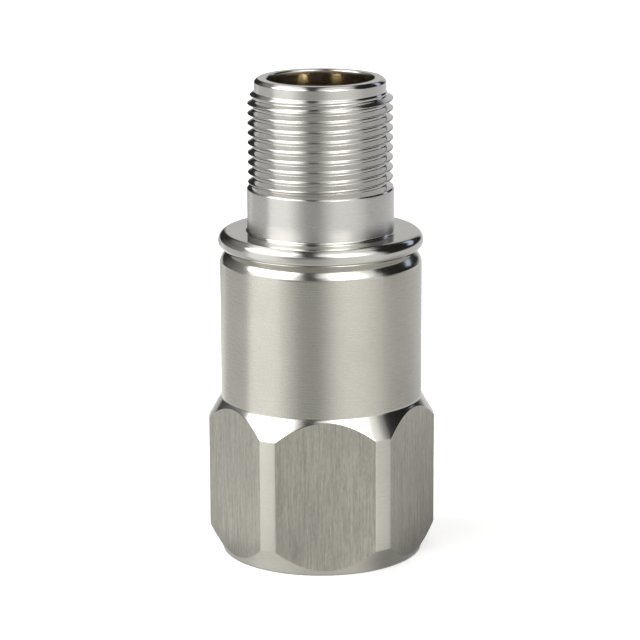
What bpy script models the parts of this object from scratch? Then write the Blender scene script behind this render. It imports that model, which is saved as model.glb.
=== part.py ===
"""Industrial vibration sensor with a hexagonal base and a two-pin threaded connector.

Metres, +Z up along the sensor's axis. The origin is the centre of the flat
mounting face. Two opposite flats of the hexagon face -Y and +Y.
"""

import math

import bmesh
import bpy
from mathutils import Matrix, Vector

MM = 0.001

# ---------------------------------------------------------------- dimensions
GAP = 0.06               # clearance between touching pieces, mm

# housing
HEX_ACROSS_FLATS = 22.225
HEX_CORNER_R = 12.32     # corners of the hexagon are turned to this radius
CONE_ANGLE = 30.0        # both cones of the hexagon, from the axis
HEX_LOWER_Z = 2.65       # where the lower cone reaches the corner radius
HEX_UPPER_Z = 14.86      # where the upper cone leaves the corner radius
BARREL_R = 10.90
BARREL_EDGE_Z = 32.16    # narrow edge at the barrel's top
BARREL_ROUND = 3.18      # radius of the polished curve from that edge to the seam
BARREL_ROUND_R = 7.876   # centre of that curve
BARREL_ROUND_Z = 31.197
SEAM_R = 9.97
SEAM_Z = 33.60           # joint between the housing and the connector shell
FOOT_BREAK = 0.15        # edge break round the mounting face

CAVITY_R = 9.00
CAVITY_FLOOR_Z = 10.20
SPIGOT_SEAT_R = 9.40
SPIGOT_SEAT_Z = 31.34

MOUNT_HOLE_R = 3.00      # middle of a 1/4-28 thread's depth
MOUNT_HOLE_DEPTH = 7.20
MOUNT_HOLE_MOUTH_R = 3.40
DRILL_POINT = 59.0       # half angle of the drill point

# connector shell
FLANGE_R = 11.07
FLANGE_WIDE_Z = 34.46
FLANGE_TOP_Z = 35.50
FLANGE_LOWER_ROUND = 0.82
FLANGE_UPPER_ROUND = 1.04
NECK_R = 7.90
NECK_FILLET = 0.20
NECK_TOP_Z = 40.15
THREAD_R = 7.47          # middle of the 5/8-24 thread's depth
THREAD_TOP_Z = 50.30
COLLAR_R = 7.06
COLLAR_Z = 50.65
RIM_Z = 51.95
RIM_BREAK = 0.38
BORE_R = 5.725
BORE_BREAK = 0.12
SHOULDER_Z = 38.54
LEAD_BORE_R = 4.80
SPIGOT_R = 9.34
SPIGOT_END_Z = 31.40
SPIGOT_BORE_R = 7.90
KEY_WIDTH = 1.50         # polarising rib in the bore
KEY_DEPTH = 0.60
KEY_LOW_Z = 42.40
KEY_TOP_Z = 49.60

# glass and pins
GLASS_LOW_Z = 38.60
GLASS_TOP_Z = 42.30
PIN_X = 2.31
PIN_R = 0.785
PIN_TIP_Z = 50.65
PIN_TAIL_R = 0.50
PIN_TAIL_Z = 35.60

# sensing element
DISC_R = 7.60
DISC_THICK = 0.80
BASE_R = 7.40
BASE_STEP_R = 6.88
BASE_LOW_THICK = 0.95
BASE_TOP_Z = 13.40
BOLT_R = 1.00
BOLT_HOLE_R = 1.06
RING_OUT_R = 4.60
RING_IN_R = 1.72
RING_THICK = 1.00
PLATE_THICK = 0.12
TAB_END_X = 5.85
TAB_WIDTH = 1.30
SLEEVE_IN_R = 1.10
SLEEVE_OUT_R = 1.62
MASS_R = 5.40
MASS_BORE_R = 1.25
MASS_TOP_Z = 21.20
MASS_POCKET_R = 2.50
MASS_POCKET_Z = 18.60
CAN_IN_R = 6.95
CAN_OUT_R = 7.25
CAN_TOP_Z = 23.00
CAN_TOP_THICK = 0.30

# electronics
SPACER_OUT_R = 8.60
SPACER_IN_R = 6.40
SPACER_TOP_Z = 24.60
BOARD_R = 8.50
BOARD_THICK = 1.00
WIRE_R = 0.26
WIRE_X = 4.00
LEAD_HOLE_X = 3.00
LEAD_HOLE_Y = -5.50

ROUND_STEPS = 48         # facets round the large turned pieces
SMALL_STEPS = 36
TINY_STEPS = 24


# ------------------------------------------------------------------- helpers
for old in list(bpy.data.objects):
    bpy.data.objects.remove(old, do_unlink=True)

parts = bpy.data.collections.new("vibration_sensor")
cutters = bpy.data.collections.new("cutters")
bpy.context.scene.collection.children.link(parts)
bpy.context.scene.collection.children.link(cutters)

# every piece hangs from this empty, at the centre of the mounting face
sensor_axis = bpy.data.objects.new("sensor_axis", None)
sensor_axis.empty_display_size = 0.03
parts.objects.link(sensor_axis)


def material(name, colour, roughness, metallic):
    """One Principled material with a colour, a roughness and a metallic value."""
    mat = bpy.data.materials.new(name)
    mat.use_nodes = True
    bsdf = mat.node_tree.nodes["Principled BSDF"]
    bsdf.inputs["Base Color"].default_value = (*colour, 1.0)
    bsdf.inputs["Roughness"].default_value = roughness
    bsdf.inputs["Metallic"].default_value = metallic
    mat.diffuse_color = (*colour, 1.0)
    return mat


def new_object(name, data, mat=None, collection=None):
    """Link an object; a sub-part gets its own copy of its material and hangs from the empty."""
    obj = bpy.data.objects.new(name, data)
    (collection or parts).objects.link(obj)
    if mat is not None:
        own = mat.copy()
        own.name = name + "_" + mat.name
        data.materials.append(own)
        obj.parent = sensor_axis
    return obj


def as_cutter(obj):
    obj.hide_render = True
    obj.display_type = "WIRE"
    return obj


def arc(centre_r, centre_z, radius, start, end, count):
    """Points on an arc of a profile, angles in degrees from +R towards +Z."""
    points = []
    for i in range(count + 1):
        a = math.radians(start + (end - start) * i / count)
        points.append((centre_r + radius * math.cos(a), centre_z + radius * math.sin(a)))
    return points


def turned(name, profile, steps, mat=None, closed=False, collection=None):
    """Turn a profile of (radius, height) points in mm about the Z axis.

    The object's origin is on the axis at the profile's lowest height.
    """
    base_z = min(z for r, z in profile)
    verts = [(r * MM, 0.0, (z - base_z) * MM) for r, z in profile]
    edges = [(i, i + 1) for i in range(len(verts) - 1)]
    if closed:
        edges.append((len(verts) - 1, 0))
    mesh = bpy.data.meshes.new(name)
    mesh.from_pydata(verts, edges, [])
    mesh.shade_smooth()
    obj = new_object(name, mesh, mat, collection)
    obj.location.z = base_z * MM
    screw = obj.modifiers.new("turn", "SCREW")
    screw.axis = "Z"
    screw.angle = math.tau
    screw.steps = steps
    screw.render_steps = steps
    screw.use_merge_vertices = True
    screw.merge_threshold = 0.000001
    screw.use_smooth_shade = True
    return obj


def cylinder(name, radius, z_low, z_high, x=0.0, y=0.0, steps=TINY_STEPS, mat=None, collection=None, turn=0.0):
    """A plain round (or many-sided) bar from a cone primitive with equal ends."""
    mesh = bpy.data.meshes.new(name)
    bm = bmesh.new()
    bmesh.ops.create_cone(bm, cap_ends=True, segments=steps, radius1=radius * MM, radius2=radius * MM,
                          depth=(z_high - z_low) * MM, matrix=Matrix.Rotation(math.radians(turn), 4, "Z"))
    bm.to_mesh(mesh)
    bm.free()
    obj = new_object(name, mesh, mat, collection)
    obj.location = Vector((x, y, (z_low + z_high) / 2)) * MM
    return obj


def block(name, size, centre, mat=None, collection=None, bevel=0.0):
    """A rectangular block with optional rounded edges; sizes in mm."""
    mesh = bpy.data.meshes.new(name)
    bm = bmesh.new()
    bmesh.ops.create_cube(bm, size=1.0, matrix=Matrix.Diagonal((*[s * MM for s in size], 1.0)))
    bm.to_mesh(mesh)
    bm.free()
    obj = new_object(name, mesh, mat, collection)
    obj.location = Vector(centre) * MM
    if bevel:
        mod = obj.modifiers.new("edges", "BEVEL")
        mod.width = bevel * MM
        mod.segments = 1
        mod.limit_method = "ANGLE"
    return obj


def boolean(obj, other, operation):
    mod = obj.modifiers.new(operation.lower() + "_" + other.name, "BOOLEAN")
    mod.operation = operation
    mod.solver = "EXACT"
    mod.object = other
    return obj


def cut(obj, other):
    return boolean(obj, as_cutter(other), "DIFFERENCE")


def join(obj, other):
    return boolean(obj, as_cutter(other), "UNION")


def wire(name, route, radius, mat):
    """A round wire along a smooth curve through the route's points, in mm."""
    points = []
    count = 4
    ends = [route[0]] + list(route) + [route[-1]]
    for i in range(1, len(ends) - 2):
        p0, p1, p2, p3 = (Vector(ends[i + k]) for k in (-1, 0, 1, 2))
        for k in range(count):
            t = k / count
            points.append(0.5 * ((2 * p1) + (p2 - p0) * t + (2 * p0 - 5 * p1 + 4 * p2 - p3) * t * t
                                 + (3 * p1 - p0 - 3 * p2 + p3) * t ** 3))
    points.append(Vector(route[-1]))
    curve = bpy.data.curves.new(name, "CURVE")
    curve.dimensions = "3D"
    curve.bevel_depth = radius * MM
    curve.bevel_resolution = 1
    curve.use_fill_caps = True
    spline = curve.splines.new("POLY")
    spline.points.add(len(points) - 1)
    start = Vector(route[0])
    for point, p in zip(spline.points, points):
        point.co = (*((p - start) * MM), 1.0)
    obj = new_object(name, curve, mat)
    obj.location = start * MM
    return obj


# ------------------------------------------------------------------- housing
steel = material("stainless_brushed", (0.56, 0.55, 0.53), 0.32, 1.0)
steel_turned = material("stainless_turned", (0.60, 0.59, 0.58), 0.22, 1.0)

slope = math.tan(math.radians(CONE_ANGLE))
foot_r = HEX_CORNER_R - HEX_LOWER_Z * slope
shoulder_z = HEX_UPPER_Z + (HEX_CORNER_R - BARREL_R) / slope

outer = [(SEAM_R, SEAM_Z), (SEAM_R + 0.09, SEAM_Z - 0.10)]
outer += arc(BARREL_ROUND_R, BARREL_ROUND_Z, BARREL_ROUND, 44.6, 19.0, 5)
outer += [
    (BARREL_R, BARREL_EDGE_Z),
    (BARREL_R, shoulder_z),
    (HEX_CORNER_R, HEX_UPPER_Z),
    (HEX_CORNER_R, HEX_LOWER_Z),
    (foot_r + FOOT_BREAK * slope, FOOT_BREAK),
    (foot_r - FOOT_BREAK, 0.0),
]
hole_tip_z = MOUNT_HOLE_DEPTH + MOUNT_HOLE_R / math.tan(math.radians(DRILL_POINT))
mount_hole = [
    (MOUNT_HOLE_MOUTH_R, 0.0),
    (MOUNT_HOLE_R, MOUNT_HOLE_MOUTH_R - MOUNT_HOLE_R),
    (MOUNT_HOLE_R, MOUNT_HOLE_DEPTH),
    (0.0, hole_tip_z),
]
cavity = [
    (0.0, CAVITY_FLOOR_Z),
    (CAVITY_R - 0.4, CAVITY_FLOOR_Z),
    (CAVITY_R, CAVITY_FLOOR_Z + 0.4),
    (CAVITY_R, SPIGOT_SEAT_Z),
    (SPIGOT_SEAT_R, SPIGOT_SEAT_Z),
    (SPIGOT_SEAT_R, SEAM_Z),
]
# one profile from the cavity's axis out over the rim, down the outside and back to the axis in the hole
hex_housing = turned("hex_housing", cavity + outer + mount_hole, ROUND_STEPS, steel)
hex_prism = cylinder("hex_prism", HEX_ACROSS_FLATS / 2 / math.cos(math.radians(30)), -2.0, 40.0, steps=6,
                     collection=cutters, turn=30.0)
boolean(hex_housing, as_cutter(hex_prism), "INTERSECT")

# ----------------------------------------------------------- connector shell
upper_r = FLANGE_R - FLANGE_UPPER_ROUND
lower_r = FLANGE_R - FLANGE_LOWER_ROUND
seam_top = SEAM_Z + GAP
upper = arc(upper_r, FLANGE_TOP_Z - FLANGE_UPPER_ROUND, FLANGE_UPPER_ROUND, 90.0, 0.0, 6)
lower_end = -math.degrees(math.asin((FLANGE_WIDE_Z - seam_top) / FLANGE_LOWER_ROUND))
lower = arc(lower_r, FLANGE_WIDE_Z, FLANGE_LOWER_ROUND, 0.0, lower_end, 5)[1:]
fillet = [
    (NECK_R + NECK_FILLET - NECK_FILLET * math.cos(math.radians(a)),
     FLANGE_TOP_Z + NECK_FILLET - NECK_FILLET * math.sin(math.radians(a)))
    for a in (0.0, 30.0, 60.0, 90.0)
]
shell_profile = [
    (BORE_R + BORE_BREAK, RIM_Z),
    (COLLAR_R - RIM_BREAK, RIM_Z),
    (COLLAR_R, RIM_Z - RIM_BREAK),
    (COLLAR_R, COLLAR_Z),
    (THREAD_R, THREAD_TOP_Z),
    (THREAD_R, NECK_TOP_Z + 0.25),
    (NECK_R, NECK_TOP_Z),
] + fillet + upper + lower + [
    (SPIGOT_R, seam_top),
    (SPIGOT_R, SPIGOT_END_Z),
    (SPIGOT_BORE_R, SPIGOT_END_Z),
    (SPIGOT_BORE_R, SEAM_Z + 0.2),
    (LEAD_BORE_R, SEAM_Z + 2.6),
    (LEAD_BORE_R, SHOULDER_Z),
    (BORE_R, SHOULDER_Z),
    (BORE_R, RIM_Z - BORE_BREAK),
]
connector_shell = turned("connector_shell", shell_profile, ROUND_STEPS, steel_turned, closed=True)
key = block("key_rib", (KEY_WIDTH, KEY_DEPTH + 0.5, KEY_TOP_Z - KEY_LOW_Z),
            (0.0, -(BORE_R + 0.5 - (KEY_DEPTH + 0.5) / 2), (KEY_TOP_Z + KEY_LOW_Z) / 2), collection=cutters)
join(connector_shell, key)

# ------------------------------------------------------------ glass and pins
glass = material("sealing_glass", (0.05, 0.06, 0.05), 0.08, 0.0)
gold = material("gold_plate", (0.83, 0.61, 0.27), 0.22, 1.0)

glass_seal = turned("glass_seal", [
    (0.0, GLASS_TOP_Z - 0.12),
    (BORE_R - 0.9, GLASS_TOP_Z - 0.12),
    (BORE_R - GAP, GLASS_TOP_Z),
    (BORE_R - GAP, GLASS_LOW_Z),
    (0.0, GLASS_LOW_Z),
], SMALL_STEPS, glass)
for side, letter in ((-1, "a"), (1, "b")):
    hole = cylinder("pin_hole_" + letter, PIN_R + GAP, GLASS_LOW_Z - 1.0, GLASS_TOP_Z + 1.0, x=side * PIN_X,
                    steps=TINY_STEPS, collection=cutters)
    cut(glass_seal, hole)
    pin = turned("contact_pin_" + letter, [
        (0.0, PIN_TIP_Z),
        (0.30, PIN_TIP_Z - 0.03),
        (0.52, PIN_TIP_Z - 0.18),
        (0.68, PIN_TIP_Z - 0.45),
        (PIN_R, PIN_TIP_Z - 0.95),
        (PIN_R, GLASS_LOW_Z - 0.10),
        (PIN_TAIL_R, GLASS_LOW_Z - 0.40),
        (PIN_TAIL_R, PIN_TAIL_Z),
        (0.0, PIN_TAIL_Z),
    ], TINY_STEPS, gold)
    pin.location.x = side * PIN_X * MM

# ----------------------------------------------------------- sensing element
ceramic_white = material("alumina", (0.85, 0.84, 0.80), 0.55, 0.0)
ceramic_piezo = material("piezoceramic", (0.62, 0.57, 0.44), 0.60, 0.0)
nickel = material("nickel_plate", (0.66, 0.64, 0.60), 0.30, 1.0)
tungsten = material("tungsten_alloy", (0.35, 0.35, 0.36), 0.40, 1.0)
polymer = material("fluoropolymer", (0.90, 0.90, 0.88), 0.60, 0.0)

disc_low = CAVITY_FLOOR_Z + GAP
disc_top = disc_low + DISC_THICK
isolation_disc = turned("isolation_disc", [
    (0.0, disc_top), (DISC_R - 0.15, disc_top), (DISC_R, disc_top - 0.15),
    (DISC_R, disc_low + 0.15), (DISC_R - 0.15, disc_low), (0.0, disc_low),
], SMALL_STEPS, ceramic_white)

base_low = disc_top + GAP
sensor_base = turned("sensor_base", [
    (0.0, base_low + 0.7),
    (BOLT_HOLE_R, base_low + 0.9),
    (BOLT_HOLE_R, BASE_TOP_Z),
    (BASE_STEP_R - 0.15, BASE_TOP_Z),
    (BASE_STEP_R, BASE_TOP_Z - 0.15),
    (BASE_STEP_R, base_low + BASE_LOW_THICK),
    (BASE_R, base_low + BASE_LOW_THICK),
    (BASE_R, base_low),
    (0.0, base_low),
], SMALL_STEPS, nickel)

ring_low = BASE_TOP_Z + GAP


def washer(name, r_in, r_out, z_low, z_high, steps, mat, edge=0.0):
    """A flat ring, with an optional edge break on its outer corners."""
    outside = [(r_out, z_high), (r_out, z_low)]
    if edge:
        outside = [(r_out - edge, z_high), (r_out, z_high - edge), (r_out, z_low + edge), (r_out - edge, z_low)]
    return turned(name, outside + [(r_in, z_low), (r_in, z_high)], steps, mat, closed=True)


piezo_ring_lower = washer("piezo_ring_lower", RING_IN_R, RING_OUT_R, ring_low, ring_low + RING_THICK,
                          SMALL_STEPS, ceramic_piezo, 0.1)
plate_low = ring_low + RING_THICK + GAP
signal_electrode = washer("signal_electrode", RING_IN_R, RING_OUT_R, plate_low, plate_low + PLATE_THICK,
                          SMALL_STEPS, nickel)
tab = block("electrode_tab", (TAB_END_X - RING_OUT_R + 0.6, TAB_WIDTH, PLATE_THICK),
            ((TAB_END_X + RING_OUT_R - 0.6) / 2, 0.0, plate_low + PLATE_THICK / 2), collection=cutters)
join(signal_electrode, tab)
upper_low = plate_low + PLATE_THICK + GAP
piezo_ring_upper = washer("piezo_ring_upper", RING_IN_R, RING_OUT_R, upper_low, upper_low + RING_THICK,
                          SMALL_STEPS, ceramic_piezo, 0.1)
mass_low = upper_low + RING_THICK + GAP
insulating_sleeve = washer("insulating_sleeve", SLEEVE_IN_R, SLEEVE_OUT_R, ring_low, mass_low - GAP,
                           TINY_STEPS, polymer)
seismic_mass = turned("seismic_mass", [
    (MASS_POCKET_R, MASS_TOP_Z),
    (MASS_R - 0.2, MASS_TOP_Z),
    (MASS_R, MASS_TOP_Z - 0.2),
    (MASS_R, mass_low + 0.2),
    (MASS_R - 0.2, mass_low),
    (MASS_BORE_R, mass_low),
    (MASS_BORE_R, MASS_POCKET_Z),
    (MASS_POCKET_R, MASS_POCKET_Z),
], SMALL_STEPS, tungsten, closed=True)

washer_low = MASS_POCKET_Z + GAP
preload_washer = turned("preload_washer", [
    (1.30, washer_low + 0.50),
    (2.30, washer_low + 0.25),
    (2.30, washer_low),
    (1.30, washer_low + 0.25),
], TINY_STEPS, nickel, closed=True)

head_low = washer_low + 0.50 + GAP
head_top = head_low + 1.90
preload_bolt = turned("preload_bolt", [
    (0.0, head_top),
    (1.75, head_top),
    (1.90, head_top - 0.15),
    (1.90, head_low),
    (BOLT_R, head_low),
    (BOLT_R, base_low + 1.15),
    (BOLT_R - 0.25, base_low + 0.98),
    (0.0, base_low + 0.98),
], TINY_STEPS, nickel)
cut(preload_bolt, cylinder("bolt_socket", 0.75 / math.cos(math.radians(30)), head_top - 1.0, head_top + 1.0,
                           steps=6, collection=cutters))

can_low = base_low + BASE_LOW_THICK + GAP
shield_can = turned("shield_can", [
    (0.0, CAN_TOP_Z),
    (CAN_OUT_R - 0.4, CAN_TOP_Z),
    (CAN_OUT_R - 0.12, CAN_TOP_Z - 0.12),
    (CAN_OUT_R, CAN_TOP_Z - 0.4),
    (CAN_OUT_R, can_low),
    (CAN_IN_R, can_low),
    (CAN_IN_R, CAN_TOP_Z - CAN_TOP_THICK - 0.1),
    (CAN_IN_R - 0.1, CAN_TOP_Z - CAN_TOP_THICK),
    (0.0, CAN_TOP_Z - CAN_TOP_THICK),
], SMALL_STEPS, nickel)
cut(shield_can, cylinder("can_wire_hole", 0.60, CAN_TOP_Z - 1.0, CAN_TOP_Z + 1.0, x=WIRE_X, steps=16,
                         collection=cutters))

# --------------------------------------------------------------- electronics
board_green = material("board_laminate", (0.05, 0.22, 0.10), 0.45, 0.0)
chip_black = material("moulded_chip", (0.03, 0.03, 0.03), 0.50, 0.0)
cap_yellow = material("capacitor_case", (0.72, 0.50, 0.12), 0.50, 0.0)
resistor_black = material("resistor_body", (0.05, 0.05, 0.06), 0.40, 0.0)
wire_white = material("wire_white", (0.85, 0.85, 0.83), 0.50, 0.0)
wire_red = material("wire_red", (0.55, 0.05, 0.04), 0.50, 0.0)
wire_black = material("wire_black", (0.03, 0.03, 0.03), 0.50, 0.0)

board_spacer = washer("board_spacer", SPACER_IN_R, SPACER_OUT_R, CAN_TOP_Z + GAP, SPACER_TOP_Z, SMALL_STEPS,
                      polymer, 0.2)
board_low = SPACER_TOP_Z + GAP
board_top = board_low + BOARD_THICK
circuit_board = turned("circuit_board", [
    (0.0, board_top), (BOARD_R, board_top), (BOARD_R, board_low), (0.0, board_low),
], SMALL_STEPS, board_green)
hole_r = WIRE_R + GAP + 0.03
for label, x, y in (("signal", WIRE_X, 0.0), ("ground", -WIRE_X, 0.0),
                    ("lead_a", -LEAD_HOLE_X, LEAD_HOLE_Y), ("lead_b", LEAD_HOLE_X, LEAD_HOLE_Y)):
    cut(circuit_board, cylinder("board_hole_" + label, hole_r, board_low - 1.0, board_top + 1.0, x=x, y=y,
                                steps=12, collection=cutters))

part_z = board_top + GAP
amplifier_chip = block("amplifier_chip", (4.9, 3.9, 1.45), (0.0, 0.8, part_z + 0.15 + 1.45 / 2), chip_black,
                       bevel=0.12)
for i in range(4):
    foot = block("chip_foot_%d" % i, (0.42, 6.0, 0.55), (-1.905 + 1.27 * i, 0.8, part_z + 0.55 / 2),
                 collection=cutters)
    join(amplifier_chip, foot)

for name, x in (("capacitor_a", -2.7), ("capacitor_b", 2.7)):
    body = block(name, (3.0, 1.6, 1.6), (x, 5.7, part_z + 0.8), cap_yellow)
    cap = block(name + "_ends", (3.3, 1.2, 0.9), (x, 5.7, part_z + 0.45), collection=cutters)
    join(body, cap)

for name, x in (("resistor_a", -6.1), ("resistor_b", 6.1)):
    block(name, (2.0, 1.25, 0.50), (x, 2.7, part_z + 0.25), resistor_black, bevel=0.06)

tab_top = plate_low + PLATE_THICK
wire_out = CAN_IN_R - WIRE_R - 0.12
signal_wire = wire("signal_wire", [
    (TAB_END_X - 0.35, 0.0, tab_top + GAP + 0.02),
    (wire_out - 0.22, 0.0, tab_top + 0.75),
    (wire_out, 0.0, tab_top + 2.2),
    (wire_out, 0.0, MASS_TOP_Z - 1.2),
    (wire_out - 0.5, 0.0, MASS_TOP_Z + 0.4),
    (WIRE_X + 0.35, 0.0, CAN_TOP_Z - 0.9),
    (WIRE_X, 0.0, CAN_TOP_Z - 0.2),
    (WIRE_X, 0.0, board_low),
    (WIRE_X, 0.0, board_top + 0.5),
], WIRE_R, wire_white)
ground_wire = wire("ground_wire", [
    (-WIRE_X, 0.0, CAN_TOP_Z + GAP),
    (-WIRE_X, 0.0, CAN_TOP_Z + 0.8),
    (-WIRE_X, 0.0, board_low),
    (-WIRE_X, 0.0, board_top + 0.5),
], WIRE_R, wire_black)
for side, letter, mat in ((-1, "a", wire_red), (1, "b", wire_black)):
    wire("pin_lead_" + letter, [
        (side * LEAD_HOLE_X, LEAD_HOLE_Y, board_low + 0.2),
        (side * LEAD_HOLE_X, LEAD_HOLE_Y, board_top + 0.4),
        (side * (LEAD_HOLE_X + 0.1), LEAD_HOLE_Y + 0.2, board_top + 1.9),
        (side * (LEAD_HOLE_X - 0.1), LEAD_HOLE_Y + 2.0, board_top + 4.6),
        (side * (PIN_X + 0.2), -1.0, PIN_TAIL_Z - 2.6),
        (side * PIN_X, 0.0, PIN_TAIL_Z - 0.9),
        (side * PIN_X, 0.0, PIN_TAIL_Z - GAP),
    ], WIRE_R, mat)

for obj in parts.objects:
    if obj.type == "MESH":
        obj.data.shade_smooth()
        obj.data.set_sharp_from_angle(angle=math.radians(30))
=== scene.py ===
"""Looks of the vibration sensor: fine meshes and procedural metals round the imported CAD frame.

Lengths below are in millimetres, with the CAD's own dimensions, and become metres in the meshes.
"""

import math

import bpy
from mathutils import Matrix, Vector


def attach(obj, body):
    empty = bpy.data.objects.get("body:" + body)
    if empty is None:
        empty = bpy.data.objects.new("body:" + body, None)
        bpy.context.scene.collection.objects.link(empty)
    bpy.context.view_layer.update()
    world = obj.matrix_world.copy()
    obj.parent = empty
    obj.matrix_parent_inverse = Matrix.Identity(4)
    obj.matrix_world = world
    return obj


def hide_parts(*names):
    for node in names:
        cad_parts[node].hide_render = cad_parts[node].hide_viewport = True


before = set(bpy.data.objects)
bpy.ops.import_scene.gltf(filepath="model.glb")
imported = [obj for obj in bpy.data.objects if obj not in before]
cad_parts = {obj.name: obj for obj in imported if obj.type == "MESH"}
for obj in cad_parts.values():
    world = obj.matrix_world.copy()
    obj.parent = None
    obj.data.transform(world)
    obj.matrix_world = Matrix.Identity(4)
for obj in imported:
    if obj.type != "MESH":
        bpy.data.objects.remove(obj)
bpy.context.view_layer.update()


MM = 0.001
TAU = math.tau

# ---------------------------------------------------------------- dimensions
APOTHEM = 22.225 / 2
CORNER_R = 12.32
SLOPE = math.tan(math.radians(30.0))
HEX_LOW_Z = 2.65
HEX_HIGH_Z = 14.86
FOOT_R = CORNER_R - HEX_LOW_Z * SLOPE
FOOT_BREAK = 0.15
BARREL_R = 10.90
BARREL_LOW_Z = HEX_HIGH_Z + (CORNER_R - BARREL_R) / SLOPE
SHOULDER_EDGE = 32.16
SEAM_Z = 33.60
GAP = 0.06

HOLE_MINOR = 2.76
HOLE_MAJOR = 3.20
HOLE_PITCH = 25.4 / 28
HOLE_MOUTH = 3.40
HOLE_DEPTH = 7.20

FLANGE_R = 11.07
FLANGE_Z = 34.46
FLANGE_TOP = 35.50
LOWER_ROUND = 0.82
UPPER_ROUND = 1.04
NECK_R = 7.90
NECK_FILLET = 0.21
NECK_TOP = 40.15
PITCH = 25.4 / 24
CREST_R = 7.79
ROOT_R = 7.10
CREST_Z = 46.10
CREST_ANGLE = math.radians(179.47)
COLLAR_R = 7.06
COLLAR_Z = 50.65
RIM_Z = 51.95
RIM_BREAK = 0.38
BORE_R = 5.725
BORE_BREAK = 0.12
SHOULDER_Z = 38.54
LEAD_R = 4.80
SPIGOT_R = 9.34
SPIGOT_Z = 31.40
SPIGOT_BORE = 7.90
RIB_R = 5.125
RIB_LOW = 42.40
RIB_TOP = 49.60

GLASS_LOW = 38.60
GLASS_TOP = 42.30
PIN_X = 2.31
PIN_R = 0.785
PIN_TIP = 50.65
PIN_TAIL_R = 0.50
PIN_TAIL_Z = 35.60


# ------------------------------------------------------------- node building
class Net:
    """Builds a shader tree with short calls; every call gives back an output socket."""

    def __init__(self, tree):
        self.tree = tree

    def add(self, kind, **props):
        node = self.tree.nodes.new(kind)
        for key, value in props.items():
            setattr(node, key, value)
        return node

    def feed(self, socket, value):
        if isinstance(value, bpy.types.NodeSocket):
            self.tree.links.new(value, socket)
        elif value is not None:
            socket.default_value = value

    def math(self, op, a, b=None, c=None, clamp=False):
        node = self.add("ShaderNodeMath", operation=op, use_clamp=clamp)
        self.feed(node.inputs[0], a)
        self.feed(node.inputs[1], b)
        self.feed(node.inputs[2], c)
        return node.outputs[0]

    def vmath(self, op, a, b=None):
        node = self.add("ShaderNodeVectorMath", operation=op)
        self.feed(node.inputs[0], a)
        self.feed(node.inputs[1], b)
        return node.outputs["Value" if op in ("LENGTH", "DOT_PRODUCT", "DISTANCE") else "Vector"]

    def split(self, vector):
        node = self.add("ShaderNodeSeparateXYZ")
        self.feed(node.inputs[0], vector)
        return node.outputs

    def join(self, x, y, z):
        node = self.add("ShaderNodeCombineXYZ")
        self.feed(node.inputs[0], x)
        self.feed(node.inputs[1], y)
        self.feed(node.inputs[2], z)
        return node.outputs[0]

    def place(self):
        return self.add("ShaderNodeTexCoord").outputs["Object"]

    def scaled(self, vector, sx, sy, sz):
        return self.vmath("MULTIPLY", vector, (sx, sy, sz))

    def noise(self, vector, scale=1.0, detail=2.0, rough=0.5, distortion=0.0):
        node = self.add("ShaderNodeTexNoise", noise_dimensions="3D")
        self.feed(node.inputs["Vector"], vector)
        node.inputs["Scale"].default_value = scale
        node.inputs["Detail"].default_value = detail
        node.inputs["Roughness"].default_value = rough
        node.inputs["Distortion"].default_value = distortion
        return node.outputs["Fac"]

    def noise1(self, w, scale=1.0, detail=2.0, rough=0.5):
        node = self.add("ShaderNodeTexNoise", noise_dimensions="1D")
        self.feed(node.inputs["W"], w)
        node.inputs["Scale"].default_value = scale
        node.inputs["Detail"].default_value = detail
        node.inputs["Roughness"].default_value = rough
        return node.outputs["Fac"]

    def fit(self, value, low, high, to_low=0.0, to_high=1.0, smooth=False):
        node = self.add("ShaderNodeMapRange", clamp=True)
        node.interpolation_type = "SMOOTHSTEP" if smooth else "LINEAR"
        self.feed(node.inputs["Value"], value)
        self.feed(node.inputs["From Min"], low)
        self.feed(node.inputs["From Max"], high)
        self.feed(node.inputs["To Min"], to_low)
        self.feed(node.inputs["To Max"], to_high)
        return node.outputs[0]

    def mix(self, factor, a, b, blend="MIX"):
        node = self.add("ShaderNodeMix", data_type="RGBA", blend_type=blend)
        self.feed(node.inputs[0], factor)
        self.feed(node.inputs[6], a)
        self.feed(node.inputs[7], b)
        return node.outputs[2]

    def blend(self, factor, a, b):
        node = self.add("ShaderNodeMix", data_type="FLOAT")
        self.feed(node.inputs[0], factor)
        self.feed(node.inputs[2], a)
        self.feed(node.inputs[3], b)
        return node.outputs[0]

    def bump(self, height, strength, distance, normal=None):
        node = self.add("ShaderNodeBump")
        node.inputs["Strength"].default_value = strength
        node.inputs["Distance"].default_value = distance
        self.feed(node.inputs["Height"], height)
        self.feed(node.inputs["Normal"], normal)
        return node.outputs[0]


def material(name, **constants):
    """A Principled material; the constants go straight on the shader's own sockets."""
    mat = bpy.data.materials.new(name)
    mat.use_nodes = True
    bsdf = mat.node_tree.nodes["Principled BSDF"]
    for key, value in constants.items():
        bsdf.inputs[key.replace("_", " ")].default_value = value
    return mat, Net(mat.node_tree), bsdf


def rgb(r, g, b):
    return (r, g, b, 1.0)


def lathe_tangent(net, bsdf):
    """The direction round the sensor's axis, for the grain of turned and milled surfaces."""
    tangent = net.add("ShaderNodeTangent", direction_type="RADIAL", axis="Z")
    net.feed(bsdf.inputs["Tangent"], tangent.outputs[0])


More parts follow.
